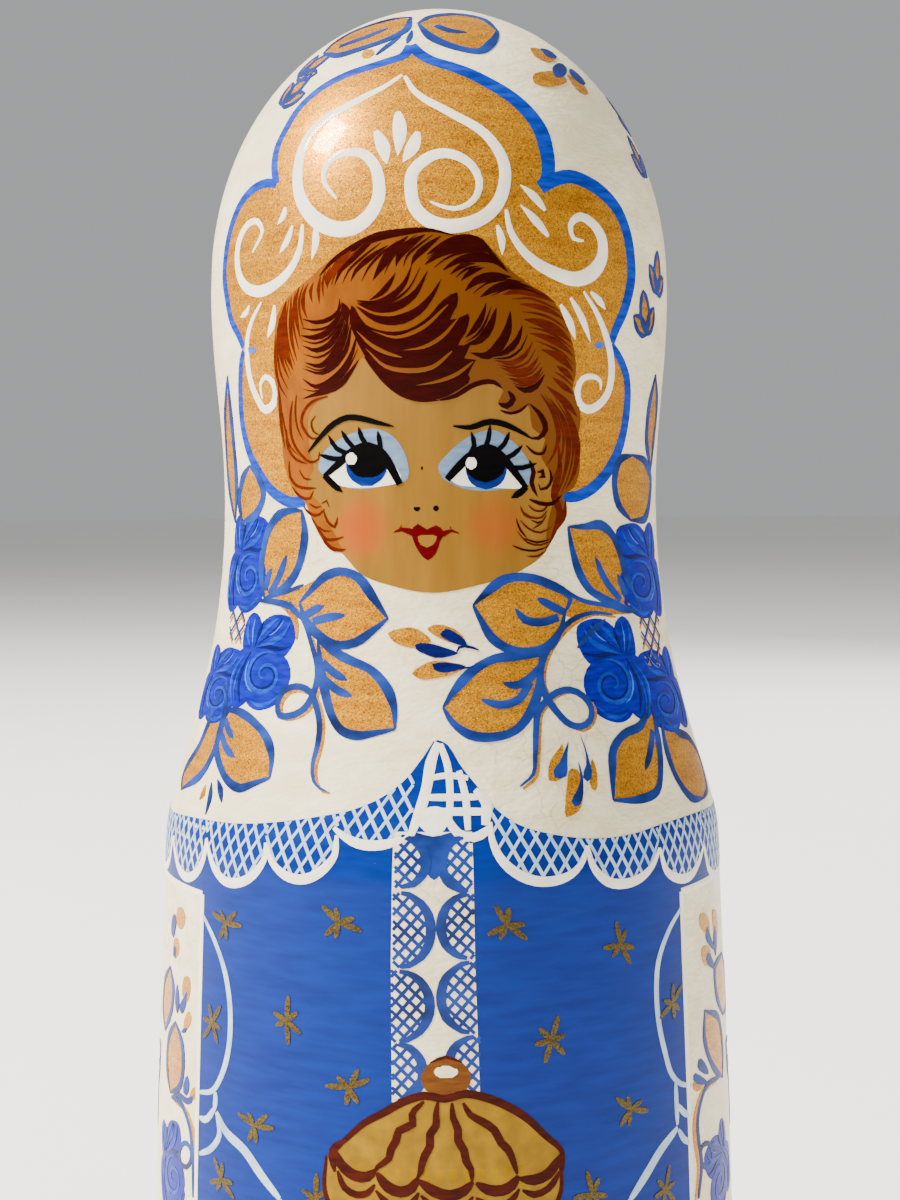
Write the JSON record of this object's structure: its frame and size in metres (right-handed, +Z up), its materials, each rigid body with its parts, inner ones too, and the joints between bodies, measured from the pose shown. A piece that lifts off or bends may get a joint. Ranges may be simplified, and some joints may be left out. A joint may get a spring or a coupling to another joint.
{
  "type": "nesting doll",
  "caption": "Tall turned wooden nesting doll that parts at a seam; smaller dolls of the same shape stand inside one another, painted as a figure in shawl and sarafan.",
  "frame": {"origin": "centre of the largest doll's foot, on the surface it stands on", "axes": "+Z up along the turning axis; the painted face looks along -Y; +X is to the right of someone who looks at the face"},
  "size_m": [0.11, 0.11, 0.33],
  "materials": {
    "ivory_paint": "limewood under ivory paint and clear lacquer",
    "blue_paint": "limewood under cobalt blue paint and clear lacquer",
    "gold_paint": "bronze-gold flake paint under clear lacquer",
    "hair_stain": "amber and brown brush strokes under clear lacquer",
    "face_wood": "bare limewood under clear lacquer, with small painted features",
    "bare_wood": "bare turned limewood"
  },
  "bodies": {
    "outer_doll_top": {"outer_doll_top": "ivory_paint"},
    "outer_doll_base": {"outer_doll_base": "blue_paint"},
    "second_doll_top": {"second_doll_top": "ivory_paint"},
    "second_doll_base": {"second_doll_base": "blue_paint"},
    "third_doll_top": {"third_doll_top": "ivory_paint"},
    "third_doll_base": {"third_doll_base": "blue_paint"},
    "fourth_doll_top": {"fourth_doll_top": "ivory_paint"},
    "fourth_doll_base": {"fourth_doll_base": "blue_paint"},
    "fifth_doll_top": {"fifth_doll_top": "ivory_paint"},
    "fifth_doll_base": {"fifth_doll_base": "blue_paint"},
    "sixth_doll_top": {"sixth_doll_top": "ivory_paint"},
    "sixth_doll_base": {"sixth_doll_base": "blue_paint"},
    "seventh_doll_top": {"seventh_doll_top": "ivory_paint"},
    "seventh_doll_base": {"seventh_doll_base": "blue_paint"},
    "eighth_doll_top": {"eighth_doll_top": "ivory_paint"},
    "eighth_doll_base": {"eighth_doll_base": "blue_paint"},
    "ninth_doll_top": {"ninth_doll_top": "ivory_paint"},
    "ninth_doll_base": {"ninth_doll_base": "blue_paint"},
    "tenth_doll": {"tenth_doll": "ivory_paint"}
  },
  "joints": [
    {"name": "lift_01_outer_doll_top", "type": "slide", "parent": "second_doll_top", "child": "outer_doll_top", "axis": [0, 0, 1], "range_m": [0, 0.214]},
    {"name": "lift_02_second_doll_top", "type": "slide", "parent": "third_doll_top", "child": "second_doll_top", "axis": [0, 0, 1], "range_m": [0, 0.185]},
    {"name": "lift_03_second_doll_base", "type": "slide", "parent": "outer_doll_base", "child": "second_doll_base", "axis": [0, 0, 1], "range_m": [0, 0.108]},
    {"name": "lift_04_third_doll_top", "type": "slide", "parent": "fourth_doll_top", "child": "third_doll_top", "axis": [0, 0, 1], "range_m": [0, 0.158]},
    {"name": "lift_05_third_doll_base", "type": "slide", "parent": "second_doll_base", "child": "third_doll_base", "axis": [0, 0, 1], "range_m": [0, 0.095]},
    {"name": "lift_06_fourth_doll_top", "type": "slide", "parent": "fifth_doll_top", "child": "fourth_doll_top", "axis": [0, 0, 1], "range_m": [0, 0.132]},
    {"name": "lift_07_fourth_doll_base", "type": "slide", "parent": "third_doll_base", "child": "fourth_doll_base", "axis": [0, 0, 1], "range_m": [0, 0.082]},
    {"name": "lift_08_fifth_doll_top", "type": "slide", "parent": "sixth_doll_top", "child": "fifth_doll_top", "axis": [0, 0, 1], "range_m": [0, 0.107]},
    {"name": "lift_09_fifth_doll_base", "type": "slide", "parent": "fourth_doll_base", "child": "fifth_doll_base", "axis": [0, 0, 1], "range_m": [0, 0.071]},
    {"name": "lift_10_sixth_doll_top", "type": "slide", "parent": "seventh_doll_top", "child": "sixth_doll_top", "axis": [0, 0, 1], "range_m": [0, 0.083]},
    {"name": "lift_11_sixth_doll_base", "type": "slide", "parent": "fifth_doll_base", "child": "sixth_doll_base", "axis": [0, 0, 1], "range_m": [0, 0.06]},
    {"name": "lift_12_seventh_doll_top", "type": "slide", "parent": "eighth_doll_top", "child": "seventh_doll_top", "axis": [0, 0, 1], "range_m": [0, 0.061]},
    {"name": "lift_13_seventh_doll_base", "type": "slide", "parent": "sixth_doll_base", "child": "seventh_doll_base", "axis": [0, 0, 1], "range_m": [0, 0.049]},
    {"name": "lift_14_eighth_doll_top", "type": "slide", "parent": "ninth_doll_top", "child": "eighth_doll_top", "axis": [0, 0, 1], "range_m": [0, 0.04]},
    {"name": "lift_15_eighth_doll_base", "type": "slide", "parent": "seventh_doll_base", "child": "eighth_doll_base", "axis": [0, 0, 1], "range_m": [0, 0.039]},
    {"name": "lift_16_ninth_doll_top", "type": "slide", "parent": "tenth_doll", "child": "ninth_doll_top", "axis": [0, 0, 1], "range_m": [0, 0.02]},
    {"name": "lift_17_ninth_doll_base", "type": "slide", "parent": "eighth_doll_base", "child": "ninth_doll_base", "axis": [0, 0, 1], "range_m": [0, 0.029]},
    {"name": "lift_18_tenth_doll", "type": "slide", "parent": "ninth_doll_base", "child": "tenth_doll", "axis": [0, 0, 1], "range_m": [0, 0.02]}
  ]
}
